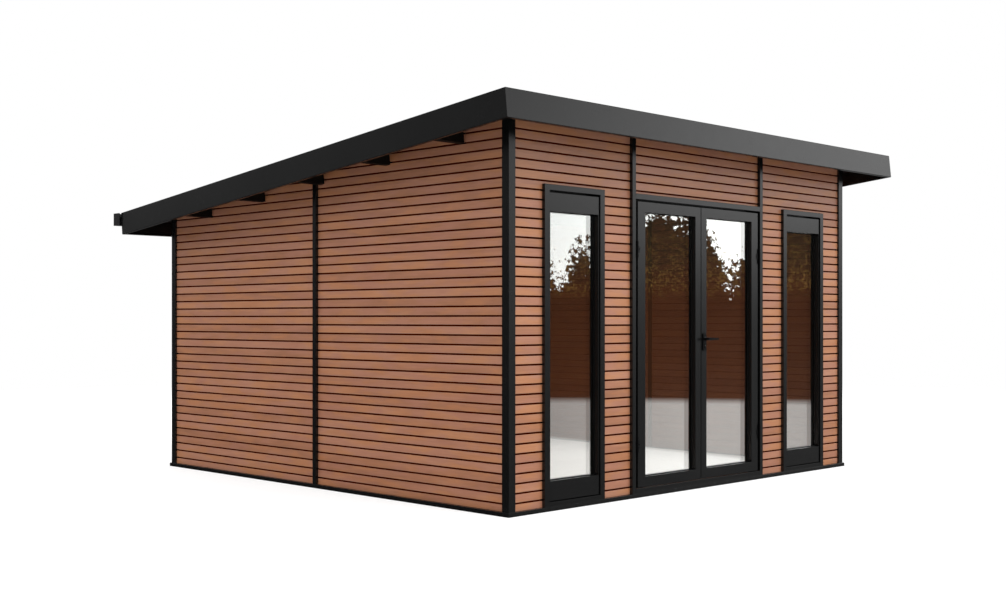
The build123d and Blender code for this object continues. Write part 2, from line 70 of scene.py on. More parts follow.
# Walls and roof as the frame has them. The side walls run up to the underside of the roof panels, so
# their tops give the roof's fall.
frontPanel, backPanel = cornersOf("left_wall_front"), cornersOf("left_wall_back")
fall = (frontPanel[1][2] - backPanel[1][2]) / (backPanel[0][1] - frontPanel[0][1])
house = dict(
    clad=-frontPanel[0][0],                       # outer face of the boards
    inner=-frontPanel[1][0],                      # inner face of the boards
    foot=frontPanel[0][2],
    top=cadBox[1][2],
    cornerOut=-frontPanel[0][1],                  # outer boards end here, behind the corner posts
    joint=backPanel[0][1],                        # boards end here at a joint post
    doorWeb=-cornersOf("front_wall_left")[1][0],  # boards end here beside the doors
    tilt=math.atan(fall),
    deckAtMiddle=backPanel[1][2] + backPanel[0][1] * fall,
)
print("pod: frame loaded, roof falls", round(math.degrees(house["tilt"]), 2), "degrees")


class Sock:
    # A node's output that takes part in Python sums: each operator adds one Math node.
    def __init__(self, book, socket):
        self.book, self.socket = book, socket

    def __add__(self, other):
        return self.book.sum("ADD", self, other)

    def __radd__(self, other):
        return self.book.sum("ADD", other, self)

    def __sub__(self, other):
        return self.book.sum("SUBTRACT", self, other)

    def __rsub__(self, other):
        return self.book.sum("SUBTRACT", other, self)

    def __mul__(self, other):
        return self.book.sum("MULTIPLY", self, other)

    def __rmul__(self, other):
        return self.book.sum("MULTIPLY", other, self)


class Finish:
    # A node tree being filled: that of a new material, or of the world.
    def __init__(self, name, world=None):
        self.mat = world or bpy.data.materials.new(name)
        self.mat.use_nodes = True
        self.nodes, self.links = self.mat.node_tree.nodes, self.mat.node_tree.links
        self.nodes.clear()
        self.out = self.nodes.new("ShaderNodeOutputWorld" if world else "ShaderNodeOutputMaterial")

    def put(self, socket, value):
        if isinstance(value, Sock):
            self.links.new(value.socket, socket)
        elif value is not None:
            socket.default_value = value

    def add(self, kind, settings=None, inputs=(), output=0):
        # any node, from its type, its settings and the values or links of its sockets
        node = self.nodes.new(kind)
        for key, value in (settings or {}).items():
            if key == "stops":
                ramp = node.color_ramp.elements
                while len(ramp) < len(value):
                    ramp.new(0.5)
                for element, (place, color) in zip(ramp, value):
                    element.position, element.color = place, color
            else:
                setattr(node, key, value)
        for key, value in (inputs.items() if isinstance(inputs, dict) else enumerate(inputs)):
            self.put(node.inputs[key], value)
        return Sock(self, node.outputs[output])

    def sum(self, kind, first, second):
        return self.add("ShaderNodeMath", dict(operation=kind), [first, second])

    def place(self, scale=(1, 1, 1)):
        return self.add("ShaderNodeMapping", inputs=dict(
            Vector=self.add("ShaderNodeTexCoord", output="Object"), Scale=scale))

    def noise(self, spot, scale, detail=2.0, rough=0.5):
        return self.add("ShaderNodeTexNoise", inputs=dict(
            Vector=spot, Scale=scale, Detail=detail, Roughness=rough), output="Fac")

    def blend(self, factor, first, second):
        return self.add("ShaderNodeMix", dict(data_type="RGBA"), {0: factor, 6: first, 7: second}, output=2)

    def scaled(self, color, amount):
        return self.add("ShaderNodeVectorMath", dict(operation="SCALE"), {0: color, "Scale": amount})

    def ramp(self, value, low, high):
        # 0 at low, 1 at high, straight between
        return self.add("ShaderNodeMapRange", inputs={0: value, 1: low, 2: high, 3: 0.0, 4: 1.0})

    def curve(self, value, stops):
        # grey level of (place, level) stops, straight between them
        greys = [(place, (level, level, level, 1)) for place, level in stops]
        return self.add("ShaderNodeValToRGB", dict(stops=greys), [value], output="Color")

    def bump(self, height, distance, strength):
        return self.add("ShaderNodeBump", inputs=dict(Height=height, Distance=distance, Strength=strength))

    def surface(self, **sockets):
        shader = self.add("ShaderNodeBsdfPrincipled", inputs={
            key.replace("_", " "): value for key, value in sockets.items()}, output="BSDF")
        self.links.new(shader.socket, self.out.inputs["Surface"])
        return self.mat


def hexColor(text):
    # sRGB hex to linear colour with alpha 1
    parts = [int(text[i:i + 2], 16) / 255 for i in (0, 2, 4)]
    return tuple(p / 12.92 if p <= 0.04045 else ((p + 0.055) / 1.055) ** 2.4 for p in parts) + (1,)


boardLook = dict(
    tones=((0.30, "aa704f"), (0.46, "bb7d5b"), (0.58, "c78a67"), (0.74, "d49975")),
    clouds=(9.0, 1.4, 1.7, 3.0, 0.55),        # scale across the board and along it, then the noise's
    streaks=(34.0, 1.5, 3.0, 5.0, 0.62),      # own scale, detail and roughness
    fine=(120.0, 3.0, 3.6, 3.0, 0.6),
    patches=(15.0, 3.4, 1.0, 2.0, 0.5),
    cloudShare=0.44, streakShare=0.34, toneShare=0.20, lighter=0.01,
    mauve=("bd7f6b", 0.42, 0.50, 0.64),       # colour, strength, and the pattern's values where the
    golden=("cb8452", 0.50, 0.46, 0.32),      # stain begins and where it is full
    pore=("7a4c37", 0.30, 0.54, 0.80),
    drift=0.10,                               # how far a board's tone moves those values
    jump=(31.0, 17.0, 23.0),                  # how far a board's tone moves its patterns
    rough=0.42, roughSpread=0.25, shine=0.95,
    grainShare=0.6, grainDepth=0.0006, grainStrength=0.7,
    # the inner boards' colours are scaled down by these shares: painted shade of the dim inside
    inside=(0.50, 0.36, 0.26),                # share of each colour on the darker inner boards
)


def boardFinish(name, along, share=(1, 1, 1)):
    # Oiled boards: streaks drawn out along the board, soft patches of mauve and gold, and a tone a board
    f = Finish(name)
    look = boardLook
    tone = f.add("ShaderNodeAttribute", dict(attribute_name="boardTone"), output="Fac")
    jump = f.add("ShaderNodeCombineXYZ", inputs=[tone * distance for distance in look["jump"]])
    spot = f.add("ShaderNodeVectorMath", dict(operation="ADD"), [
        f.add("ShaderNodeTexCoord", output="Object"), jump])

    def pattern(kind):
        # noise drawn out along the board
        across, lengthways, scale, detail, rough = look[kind]
        stretch = [across, across, across]
        stretch[along] = lengthways
        drawnOut = f.add("ShaderNodeMapping", inputs=dict(Vector=spot, Scale=stretch))
        return f.noise(drawnOut, scale, detail, rough)

    def shaded(text):
        return tuple(c * k for c, k in zip(hexColor(text), share)) + (1,)

    def stained(under, kind, value):
        # the colour under it, stained where the pattern's value lies past the limits
        text, strength, begins, full = look[kind]
        return f.blend(f.ramp(value, begins, full) * strength, under, shaded(text))

    clouds, streaks, fine, patches = (pattern(kind) for kind in ("clouds", "streaks", "fine", "patches"))
    body = clouds * look["cloudShare"] + streaks * look["streakShare"] + tone * look["toneShare"]
    color = f.add("ShaderNodeValToRGB", dict(stops=[(place, shaded(text)) for place, text in look["tones"]]),
                  [body + look["lighter"]], output="Color")
    color = stained(color, "mauve", patches + tone * look["drift"])
    color = stained(color, "golden", patches - tone * look["drift"])
    color = stained(color, "pore", fine)
    grain = fine * look["grainShare"] + streaks * (1 - look["grainShare"])
    return f.surface(
        Base_Color=color, Roughness=look["rough"] + (streaks - 0.5) * look["roughSpread"],
        Normal=f.bump(grain, look["grainDepth"], look["grainStrength"]), Specular_IOR_Level=look["shine"])


coatLook = dict(
    cloud=(1.7, 3.0, 0.5), dust=(11.0, 5.0, 0.6), grit=(900.0, 2.0, 0.5),   # scale, detail, roughness
    cloudShare=0.7, begins=0.32, full=0.68,     # where the mixed pattern turns from dark to light
    light=1.22, dark=0.82,                      # shares of the colour that it drifts between
    dustRough=0.06, gritRough=0.04,
    gritDepth=0.0001, gritStrength=0.5,
)


def coatFinish(name, color, rough, shine=0.5, scale=1.0):
    # Powder coat: an even colour with faint cloud and dust, and fine grit in its gloss and relief
    f = Finish(name)
    look = coatLook
    spot = f.place()

    def pattern(kind, size=1.0):
        noiseScale, detail, noiseRough = look[kind]
        return f.noise(spot, noiseScale * size, detail, noiseRough)

    cloud, dust, grit = pattern("cloud", scale), pattern("dust", scale), pattern("grit")
    base = hexColor(color)
    light, dark = (tuple(c * look[key] for c in base[:3]) + (1,) for key in ("light", "dark"))
    mixed = cloud * look["cloudShare"] + dust * (1 - look["cloudShare"])
    return f.surface(
        Base_Color=f.blend(f.ramp(mixed, look["begins"], look["full"]), dark, light),
        Roughness=rough + (dust - 0.5) * look["dustRough"] + (grit - 0.5) * look["gritRough"],
        Normal=f.bump(grit, look["gritDepth"], look["gritStrength"]), Specular_IOR_Level=shine)


rubberLook = dict(clean="060606", bloomed="131313", rough=0.62, bloomRough=0.15, shine=0.3,
                  bloom=(30.0, 4.0, 0.6), begins=0.35, full=0.8)


def rubberFinish(name):
    # Black glazing seal: matt, with a little bloom
    f = Finish(name)
    look = rubberLook
    bloom = f.ramp(f.noise(f.place(), *look["bloom"]), look["begins"], look["full"])
    return f.surface(Base_Color=f.blend(bloom, hexColor(look["clean"]), hexColor(look["bloomed"])),
                     Roughness=look["rough"] + bloom * look["bloomRough"], Specular_IOR_Level=look["shine"])


paneLook = dict(
    mirror=0.42, behind=0.05,       # share of the light that the outer face mirrors, and the other faces
    turnsFrom=-0.4, turnsTo=-0.6,   # the y part of a face's direction where one gives way to the other
    tints=("e6ebe8", "f2f4f2"), cloud=(1.3, 2.0, 0.5),
)


def glassFinish(name):
    # Sealed pane: its outer face mirrors part of the light, its other faces hardly any
    f = Finish(name)
    look = paneLook
    facing = f.add("ShaderNodeTexCoord", output="Normal")
    outward = f.add("ShaderNodeSeparateXYZ", inputs=[facing], output="Y")
    front = f.ramp(outward, look["turnsFrom"], look["turnsTo"])
    cloud = f.noise(f.place((1, 1, 0.5)), *look["cloud"])
    tint = f.blend(cloud, *(hexColor(text) for text in look["tints"]))
    clear = look["behind"] + front * (look["mirror"] - look["behind"])
    return f.surface(Base_Color=tint, Metallic=1.0, Roughness=0.0, Alpha=clear)


floorLook = dict(
    planks=("dedbd6", "d4d0ca"), joint="a09b93", grained="c2bcb2",
    plankLength=1.2, plankWidth=0.19, jointWidth=0.0012, stagger=0.37,
    stretch=(2, 30, 30), grain=(2.0, 4.0, 0.6), begins=0.35, full=0.75, strength=0.22,
    rough=0.42, grainRough=0.15,
)


def floorFinish(name):
    # Pale plank floor: planks along X with thin joints and a soft grain
    f = Finish(name)
    look = floorLook
    first, second = (hexColor(text) for text in look["planks"])
    planks = f.add("ShaderNodeTexBrick", dict(offset=look["stagger"], offset_frequency=2), {
        "Vector": f.place(), "Color1": first, "Color2": second, "Mortar": hexColor(look["joint"]),
        "Scale": 1.0, "Mortar Size": look["jointWidth"], "Brick Width": look["plankLength"],
        "Row Height": look["plankWidth"]}, output="Color")
    grain = f.noise(f.place(look["stretch"]), *look["grain"])
    grained = f.ramp(grain, look["begins"], look["full"]) * look["strength"]
    return f.surface(Base_Color=f.blend(grained, planks, hexColor(look["grained"])),
                     Roughness=look["rough"] + grain * look["grainRough"])


stainLook = dict(dark="0f0d0c", light="1f1a17", stretch=(2, 40, 40), streak=(2.5, 5.0, 0.62),
                 begins=0.3, full=0.7, rough=0.6, streakRough=0.2, shine=0.25, depth=0.0006, strength=0.6)


def stainedFinish(name):
    # Black-stained timber: streaks along X
    f = Finish(name)
    look = stainLook
    streak = f.noise(f.place(look["stretch"]), *look["streak"])
    streaked = f.ramp(streak, look["begins"], look["full"])
    tint = f.blend(streaked, hexColor(look["dark"]), hexColor(look["light"]))
    return f.surface(Base_Color=tint, Roughness=look["rough"] + streak * look["streakRough"],
                     Specular_IOR_Level=look["shine"],
                     Normal=f.bump(streak, look["depth"], look["strength"]))


boardsAcross = boardFinish("oiled boards across", 0)
boardsDeep = boardFinish("oiled boards deep", 1)
# The inner boards are the same oiled boards with their colours darkened: painted shade of the dim inside.
shadedInnerAcross = boardFinish("inner boards across in painted shade", 0, boardLook["inside"])
shadedInnerDeep = boardFinish("inner boards deep in painted shade", 1, boardLook["inside"])
# Board edges, board backs and the core take this near-black brown: partly a dark joint and backing, partly
# painted shade inside the grooves.
groove = coatFinish("dark groove with painted groove shade", "5a1402", 0.85, shine=0.0)
innerJoint = coatFinish("dark joint of the inner boards", "2a170f", 0.85, shine=0.05)
seal = rubberFinish("glazing seal")
screwZinc = coatFinish("roof screw coat", "3a3b3d", 0.38, scale=9)
screwBlack = coatFinish("black screw", "161617", 0.32, scale=9)
lockMetal = coatFinish("lock cylinder, blackened", "33322f", 0.30, scale=9)
slotFinishes = dict(
    black_metal=coatFinish("black powder coat", "121212", 0.26),
    black_frame=coatFinish("black frame coat", "121212", 0.21),
    floor_panel=floorFinish("pale plank floor"),
    clear_glass=glassFinish("sealed pane"),
    roof_sheet=coatFinish("roof sheet coat", "222325", 0.38),
    purlin_timber=stainedFinish("black stained timber"),
    gutter_metal=coatFinish("gutter coat", "131314", 0.28),
    handle_metal=coatFinish("satin black handle", "0c0c0d", 0.20, shine=0.25, scale=4),
    hinge_metal=coatFinish("satin black hinge", "0b0b0c", 0.20, shine=0.18, scale=4),
    timber_boards=boardsAcross,
)
print("pod: finishes made")

for part in frame["record"]["subparts"]:
    materials = frame["nodes"][part["node"]].data.materials
    materials.clear()
    materials.append(slotFinishes[part["material_slot"]])
print("pod: CAD pieces dressed")


def gridFaces(rows, columns, closed=False):
    # Quads between the points (k, i) of a grid, numbered k * columns + i. Its columns close on
    # themselves, and with closed its rows do too.
    k, i = np.meshgrid(np.arange(rows if closed else rows - 1), np.arange(columns), indexing="ij")
    nextK, nextI = (k + 1) % rows, (i + 1) % columns
    corners = [k * columns + i, k * columns + nextI, nextK * columns + nextI, nextK * columns + i]
    return np.stack(corners, -1).reshape(-1, 4)


def together(shapes):
    # Several shapes as one. A shape is its points and blocks of faces, each block an array of faces
    # with equally many corners, and the faces count on from the points of the shapes before.
    starts = np.cumsum([0] + [len(points) for points, blocks in shapes])
    joined = [block + start for (points, blocks), start in zip(shapes, starts) for block in blocks]
    return np.concatenate([points for points, blocks in shapes]), joined


def meshPiece(name, points, blocks, materials, body, slot, slots=None, tones=None):
    # One mesh of closed shells, each turned to face outwards. Where a form runs out to nothing, its
    # faces without area are taken away.
    mesh = bpy.data.meshes.new(name)
    mesh.from_pydata(points.tolist(), [], [face for block in blocks for face in block.tolist()])
    for material in materials:
        mesh.materials.append(material)
    if slots is not None:
        mesh.polygons.foreach_set("material_index", np.asarray(slots, dtype=np.int32))
    if tones is not None:
        toneOfPoint = mesh.attributes.new("boardTone", "FLOAT", "POINT")
        toneOfPoint.data.foreach_set("value", np.asarray(tones, float))
    shells = bmesh.new()
    shells.from_mesh(mesh)
    bmesh.ops.dissolve_degenerate(shells, dist=1e-6, edges=shells.edges)
    bmesh.ops.recalc_face_normals(shells, faces=shells.faces)
    shells.to_mesh(mesh)
    shells.free()
    piece = bpy.data.objects.new(name, mesh)
    bpy.context.scene.collection.objects.link(piece)
    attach(piece, body)
    return piece


boards = dict(
    pitch=0.0625,          # one board and one groove
    groove=0.0112,         # open groove between two outer boards
    innerGroove=0.004,     # joint between two inner boards
    firstGroove=0.0145,    # middle of the lowest groove above the ground
    rows=44, wholeRow=34,  # boards to the highest eaves, and to the first one that runs over the window
    thick=0.017,
    edge=0.0016,           # rounded edge of a board, in two flats
    flat=0.3,              # where the two flats meet, as a share of the edge
    least=0.0048,          # a lower strip of board is left out
    tip=0.0004,            # least height of a board that the roof cuts to a point
    underRoof=0.001,       # left free under the roof panels
    coreUnderRoof=0.006,   # left free over the core
    coreGap=0.0003,        # between the core and the backs of the boards
    seed=11, tones=64, toneStart=3, toneInside=20,   # a board's tone is drawn by its row
)


def deckUnder(y):
    # underside of the roof panels: its height at the middle, less y times the roof's fall
    return house["deckAtMiddle"] - y * math.tan(house["tilt"])


def boardRun(start, end, low, high, roofAt, gap):
    # Boards one above another, with a gap between. Point j of a board's section lies depth[j] behind
    # the face, and above[j] over its bottom or, where atTop[j] is 1, over its top. The section is
    # carried along the wall over three stations: the start, where the roof meets the board's top, and
    # where it meets its bottom or the wall ends. No point is above the roof there.
    rows = np.arange(-1, boards["rows"])
    middle = boards["firstGroove"] + rows * boards["pitch"]
    bottom = np.maximum(middle + gap / 2, low)
    top = np.minimum(middle + boards["pitch"] - gap / 2, min(high, roofAt(start)))
    keep = top - bottom > boards["least"]
    bottom, top, rows = bottom[keep], top[keep], rows[keep]

    thick, edge, flat = boards["thick"], boards["edge"], boards["flat"] * boards["edge"]
    depth = np.array([thick, edge, flat, 0, 0, flat, edge, thick])
    above = np.array([0, 0, flat, edge, -edge, -flat, 0, 0])
    atTop = np.array([0, 0, 0, 0, 1, 1, 1, 1])
    height = bottom[:, None] * (1 - atTop) + top[:, None] * atTop + above

    slope = max((roofAt(start) - roofAt(end)) / (end - start), 1e-9)     # never quite level
    meets = [start + (roofAt(start) - level) / slope for level in (top, bottom)]
    stations = np.stack([np.full(len(rows), start)] + [np.clip(m, start, end) for m in meets], 1)
    roofHere = np.maximum(roofAt(stations), bottom[:, None] + boards["tip"])
    heights = np.minimum(height[:, None, :], roofHere[:, :, None])
    along = np.broadcast_to(stations[:, :, None], heights.shape)
    points = np.stack([along, np.broadcast_to(depth, heights.shape), heights], -1).reshape(-1, 3)

    ring, count = len(depth), len(rows)
    j = np.arange(ring)
    first = (np.arange(count) * 3 * ring)[:, None]
    sides = (gridFaces(3, ring) + first[:, :, None]).reshape(-1, 4)
    caps = np.concatenate([j[::-1] + first, j + 2 * ring + first])
    # the groove sides and back take the groove finish: partly a dark joint, partly painted groove shade
    dark = np.isin(j, (0, ring - 2, ring - 1)).astype(int)               # both groove sides and the back
    slots = np.concatenate([np.tile(dark, 2 * count), np.zeros(len(caps), int)])
    return points, [sides, caps], slots, np.repeat(rows, 3 * ring)


def coreBlock(start, end, low, high, roofAt):
    # The core between the outer and inner boards, dark partly as painted shade seen down the grooves: a
    # block whose top follows the roof. Its points are counted by height, then along the wall, then by depth.
    gap = boards["coreGap"]
    front, back = boards["thick"] + gap, house["clad"] - house["inner"] - boards["thick"] - gap
    ends, depths = np.meshgrid([start + gap, end - gap], [front, back], indexing="ij")
    tops = np.minimum(high, roofAt(ends) - boards["coreUnderRoof"])
    layers = [np.stack([ends, depths, height], -1) for height in (np.full((2, 2), low), tops)]
    quads = [(0, 1, 3, 2), (4, 6, 7, 5), (0, 4, 5, 1), (2, 3, 7, 6), (0, 2, 6, 4), (1, 5, 7, 3)]
    return np.array(layers).reshape(-1, 3), [np.array(quads)]


# from a wall's own (along, depth behind the face, height) to the pod's axes
ontoWall = dict(
    left=lambda p: np.stack([p[:, 1] - house["clad"], p[:, 0], p[:, 2]], 1),
    right=lambda p: np.stack([house["clad"] - p[:, 1], p[:, 0], p[:, 2]], 1),
    front=lambda p: np.stack([p[:, 0], p[:, 1] - house["clad"], p[:, 2]], 1),
    back=lambda p: np.stack([p[:, 0], house["clad"] - p[:, 1], p[:, 2]], 1),
)


def cladPanel(name, node, wall, outerRuns, innerRuns):
    # One wall panel: boards outside and inside, and the core between, dark partly as painted shade down the
    # grooves. The inner boards are the outer ones with their depth counted from the inner face.
    sloping = wall in ("left", "right")
    whole = house["clad"] - house["inner"]
    level = dict(front=-house["clad"], back=house["clad"])

    def roofAt(along):
        # the roof falls along a side wall, and stays level over the front and the back
        y = along if sloping else level[wall] + 0 * np.asarray(along)
        return deckUnder(y) - boards["underRoof"]

    random = np.random.default_rng([boards["seed"], len(node), ord(node[0]), ord(node[-1])])
    toneOf = random.random(boards["tones"])
    shapes, slots, tones = [], [], []
    for runs, inside in ((outerRuns, False), (innerRuns, True)):
        for run in runs:
            gap = boards["innerGroove"] if inside else boards["groove"]
            points, blocks, dark, rows = boardRun(*run, roofAt, gap)
            if inside:
                points[:, 1] = whole - points[:, 1]
            shapes.append((ontoWall[wall](points), blocks))
            slots.append(dark + 2 * inside)
            row = rows + boards["toneStart"] + boards["toneInside"] * inside
            tones.append(toneOf[row % boards["tones"]])
    for run in outerRuns:
        points, blocks = coreBlock(*run, roofAt)
        shapes.append((ontoWall[wall](points), blocks))
        slots.append(np.ones(len(blocks[0]), int))
        tones.append(np.zeros(len(points)))
    # inside, the darkened board finish stands in as painted shade of the dim room
    outside, shadedWithin = (boardsDeep, shadedInnerDeep) if sloping else (boardsAcross, shadedInnerAcross)
    piece = meshPiece(name, *together(shapes), [outside, groove, shadedWithin, innerJoint], "pod",
                      "timber_boards", np.concatenate(slots), np.concatenate(tones))
    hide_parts(node)


windowBox, doorHead = cornersOf("window_frame_right"), cornersOf("door_frame")[1]
wholeRow = boards["firstGroove"] + boards["wholeRow"] * boards["pitch"]


def wallRun(sign, near, far, low=house["foot"], high=house["top"]):
    # one run of boards on the side of the middle that sign gives: start, end, lowest and highest
    return (*sorted((sign * near, sign * far)), low, high)


def roundWindow(sign, corner):
    # boards beside the window on both sides, over it, and right across above wholeRow
    near, far, head = windowBox[0][0], windowBox[1][0], windowBox[1][2]
    return [
        wallRun(sign, house["doorWeb"], near, high=wholeRow),
        wallRun(sign, far, corner, high=wholeRow),
        wallRun(sign, near, far, low=head, high=wholeRow),
        wallRun(sign, house["doorWeb"], corner, low=wholeRow),
    ]


corners = (house["cornerOut"], house["inner"])     # where the outer boards end, and the inner ones
for wall, sign in (("left", -1), ("right", 1)):
    for end, endSign in (("front", -1), ("back", 1)):
        outer, inner = ([wallRun(endSign, house["joint"], corner)] for corner in corners)
        cladPanel(f"{wall}_boards_{end}", f"{wall}_wall_{end}", wall, outer, inner)
    outer, inner = ([wallRun(sign, house["joint"], corner)] for corner in corners)
    cladPanel(f"back_boards_{wall}", f"back_wall_{wall}", "back", outer, inner)
    outer, inner = (roundWindow(sign, corner) for corner in corners)
    cladPanel(f"front_boards_{wall}", f"front_wall_{wall}", "front", outer, inner)
overDoor = [(-doorHead[0], doorHead[0], doorHead[2], house["top"])]
cladPanel("front_boards_over_door", "front_wall_over_door", "front", overDoor, overDoor)
print("pod: boards made")

seals = dict(width=0.0055, height=0.0045, sunk=0.05, steps=4, windowPocket=0.0057, doorPocket=0.0117)


def sealRings(name, pane, pocket, body):
    # A rounded strip carried round the opening on both faces of a pane. Point k of its section stands
    # a[k] in from each edge of the opening and b[k] out of the glass, a quarter round from the edge to
    # the glass, so the corners come out mitred.
    low, high = cornersOf(pane)
    inX, inZ = np.array([[1, -1, -1, 1], [1, 1, -1, -1]])[:, :, None]
    x = np.where(inX > 0, low[0] + pocket, high[0] - pocket)
    z = np.where(inZ > 0, low[2] + pocket, high[2] - pocket)
    turn = np.linspace(0, np.pi / 2, seals["steps"] + 1)[1:]
    a = seals["width"] * np.concatenate([[0, 0], np.sin(turn)])
    b = seals["height"] * np.concatenate([[-seals["sunk"], 1], np.cos(turn[:-1]), [-seals["sunk"]]])
    shapes = []
    for face, outward in ((low[1], -1), (high[1], 1)):
        ring = np.stack(np.broadcast_arrays(x + inX * a, face + outward * b, z + inZ * a), -1)
        shapes.append((ring.reshape(-1, 3), [gridFaces(4, len(a), closed=True)]))
    meshPiece(name, *together(shapes), [seal], body, "black_frame")


for side in ("left", "right"):
    sealRings(f"window_seals_{side}", f"window_glass_{side}", seals["windowPocket"], "pod")
    sealRings(f"door_seals_{side}", f"door_glass_{side}", seals["doorPocket"], f"{side}_door")
print("pod: glazing seals made")


def roundRings(radius, shape):
    # rings of a turned section, from shares of a radius and their heights
    return [(radius * share, radius * share, height) for share, height in shape]


def turned(spots, axis, rings, sides, wrap=False):
    # A section turned about an axis at each spot. Ring k is an ellipse of radii a[k] and b[k] at the
    # height h[k], and its point i stands at the angle 2 pi (i + 1/2) / sides. With wrap the last ring
    # joins the first, otherwise both ends are capped.
    axis, sideways = np.array(axis, float), np.array([1.0, 0, 0])
    up = np.cross(axis, sideways)
    angle = 2 * np.pi * (np.arange(sides) + 0.5) / sides
    a, b, h = np.array(rings).T[:, :, None]
    flat = (a * np.cos(angle))[..., None] * sideways + (b * np.sin(angle))[..., None] * up
    shape = flat + h[..., None] * axis
    points = (np.atleast_2d(spots)[:, None, None] + shape).reshape(-1, 3)
    size = len(rings) * sides
    starts = np.arange(0, len(points), size)[:, None]
    blocks = [(gridFaces(len(rings), sides, closed=wrap) + starts[:, :, None]).reshape(-1, 4)]
    if not wrap:
        rim = np.arange(sides)
        blocks += [rim[::-1] + starts, rim + size - sides + starts]
    return points, blocks


roofScrews = dict(
    ribs=19, ribInset=0.036,                  # ribs in all, and the first one behind the side fascia's face
    purlinMiddle=-0.073, purlinApart=0.748, purlinsEachWay=2,
    backIn=0.03, frontIn=0.052,               # screws' lines behind the back edge and the front edge
    deck=0.117, ribTop=0.1819, flangeTop=0.185,   # above the plane of the fascias' lower edges
    washer=0.0095, washerSides=12,
    washerShape=((1, -0.0004), (1, 0.0008), (0.8, 0.0020), (0.5, 0.0022)),   # share of radius, height
    head=0.0048, headSides=6,
    headShape=((1, 0.0015), (1, 0.00396), (0.8, 0.0044)),
)


def screwRoof():
    # Hexagon screws with washers. One stands where each rib crosses a purlin or the back beam, and one
    # on the front flange at each rib: its spot is x along the eaves, plus its slope's length down the
    # roof, plus its height along the roof's normal. The outermost ribs' screws are on the side flanges.
    screw = roofScrews
    slant, sink = math.cos(house["tilt"]), math.sin(house["tilt"])
    normal, down = np.array([0, sink, slant]), np.array([0, slant, -sink])
    reach = -cornersOf("fascia_left")[0][0] - screw["ribInset"]
    ribX = np.linspace(-reach, reach, screw["ribs"])
    steps = np.arange(-screw["purlinsEachWay"], screw["purlinsEachWay"] + 1)
    lineY = np.append(screw["purlinMiddle"] + screw["purlinApart"] * steps,
                      cornersOf("fascia_back")[1][1] - screw["backIn"])
    x, slope = np.meshgrid(ribX, lineY / slant)
    height = np.where(np.abs(x) < 0.99 * reach, screw["ribTop"], screw["flangeTop"])
    frontLine = cornersOf("fascia_front")[0][1] / slant + screw["frontIn"]
    x = np.append(x, ribX)[:, None]
    slope = np.append(slope, np.full(len(ribX), frontLine))[:, None]
    height = np.append(height, np.full(len(ribX), screw["flangeTop"]))[:, None]
    base = np.array([0, 0, house["deckAtMiddle"] - screw["deck"] / slant])
    spots = x * np.array([1, 0, 0]) + slope * down + height * normal + base
    washers = turned(spots, normal, roundRings(screw["washer"], screw["washerShape"]), screw["washerSides"])
    heads = turned(spots, normal, roundRings(screw["head"], screw["headShape"]), screw["headSides"])
    meshPiece("roof_screws", *together([washers, heads]), [screwZinc], "pod", "roof_sheet")


screwRoof()

hingeScrews = dict(
    middles=(0.370, 1.730), apart=0.011,      # heights of the hinges, and of the screws from them
    knuckle=0.0095, inFromAxis=0.0225, plate=0.003,
    radius=0.0036, sides=12,
    shape=((1, -0.0003), (0.94, 0.0007), (0.7, 0.0012), (0.42, 0.0013), (0.42, 0.0003)),
)
for side, sign in (("left", 1), ("right", -1)):
    # Dished screws in the leaf's hinge plates, two a plate
    low, high = cornersOf(f"door_hinge_leaf_halves_{side}")
    x = (low[0] if sign > 0 else high[0]) + sign * (hingeScrews["knuckle"] + hingeScrews["inFromAxis"])
    y = cornersOf(f"door_leaf_{side}")[0][1] - hingeScrews["plate"]
    apart = hingeScrews["apart"]
    spots = [(x, y, middle + offset) for middle in hingeScrews["middles"] for offset in (-apart, apart)]
    screws = turned(spots, (0, -1, 0), roundRings(hingeScrews["radius"], hingeScrews["shape"]),
                    hingeScrews["sides"])
    meshPiece(f"hinge_screws_{side}", *screws, [screwBlack], f"{side}_door", "hinge_metal")

lock = dict(
    x=0.036, coreHeight=1.049, leverHeight=1.097,
    proud=0.003,                              # cylinder out of the plate
    core=0.0072, coreSides=24,
    coreShape=((1, -0.0004), (1, 0.0012), (0.9, 0.0016)),
    slot=((0.0010, 0.0040, 0.0016), (0.0010, 0.0040, 0.0003)),    # half width, half height, out of the face
    rose=0.0165, boss=0.0103, roseSides=32,
    roseShape=((1, -0.0004), (1, 0.0016), (0.94, 0.0024), (0.72, 0.0030)),
    bossShape=((1, 0.0030), (1, -0.0004)),
)
plates = cornersOf("door_handle_plates")
for face, y, outward in (("outside", plates[0][1], -1), ("inside", plates[1][1], 1)):
    # The cylinder's core with its key slot, and the ring round the lever's neck
    rings = roundRings(lock["core"], lock["coreShape"]) + list(lock["slot"])
    core = turned((lock["x"], y, lock["coreHeight"]), (0, outward, 0), rings, lock["coreSides"])
    meshPiece(f"lock_core_{face}", *core, [lockMetal], "right_door", "handle_metal")
    rings = roundRings(lock["rose"], lock["roseShape"]) + roundRings(lock["boss"], lock["bossShape"])
    rose = turned((lock["x"], y - outward * lock["proud"], lock["leverHeight"]), (0, outward, 0), rings,
                  lock["roseSides"], wrap=True)
    meshPiece(f"lever_rose_{face}", *rose, [slotFinishes["handle_metal"]], "right_door", "handle_metal")
print("pod: screws and lock made")

ground = dict(radius=26.0, hub=0.004, fadeFrom=10.5, fadeTo=14.5, rings=24, spokes=96, color=0.42, lift=0.66)


